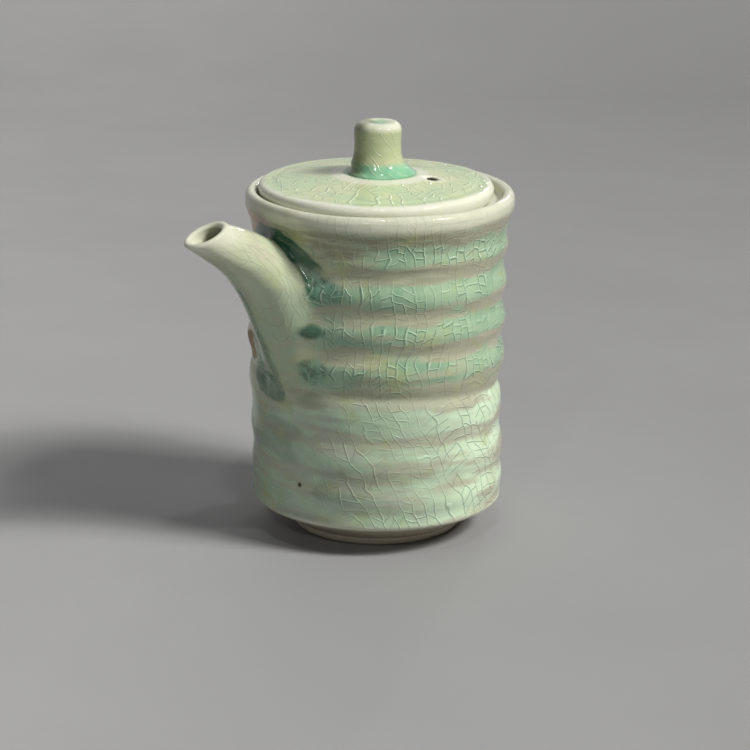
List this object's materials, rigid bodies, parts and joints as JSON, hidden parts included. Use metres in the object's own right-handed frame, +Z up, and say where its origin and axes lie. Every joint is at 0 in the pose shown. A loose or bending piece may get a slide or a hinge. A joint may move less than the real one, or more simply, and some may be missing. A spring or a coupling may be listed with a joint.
{
  "type": "lidded ceramic pouring pot",
  "caption": "Small cylindrical lidded ceramic server with a curved pouring spout, throwing rings, a turned foot and a lift-off lid with a stub knob.",
  "frame": {"origin": "on the table, under the middle of the whole object's bounding box", "axes": "+Z up; the spout points along -X from the pot's axis, and the pot's axis stands at x = +16.1 mm; +Y is the side away from a person who holds the spout to their left"},
  "size_m": [0.1186, 0.0864, 0.1337],
  "materials": {
    "pot_glaze": "glossy crackled celadon glaze, green on the rings and beige in the grooves",
    "spout_glaze": "glossy crackled celadon glaze, cream at the mouth",
    "foot_clay": "bare beige-brown stoneware, matt",
    "lid_glaze": "glossy crackled yellow-green glaze with a cream edge",
    "knob_glaze": "glossy celadon glaze, pooled mint round its foot",
    "flange_clay": "bare beige-brown stoneware, matt"
  },
  "bodies": {
    "pot": {"pot_body": "pot_glaze", "foot_ring": "foot_clay", "spout": "spout_glaze"},
    "lid": {"lid_disc": "lid_glaze", "lid_flange": "flange_clay", "lid_knob": "knob_glaze"}
  },
  "joints": [
    {"name": "lid_lift", "type": "slide", "parent": "pot", "child": "lid", "axis": [0, 0, 1], "range_m": [0, 0.06]}
  ]
}
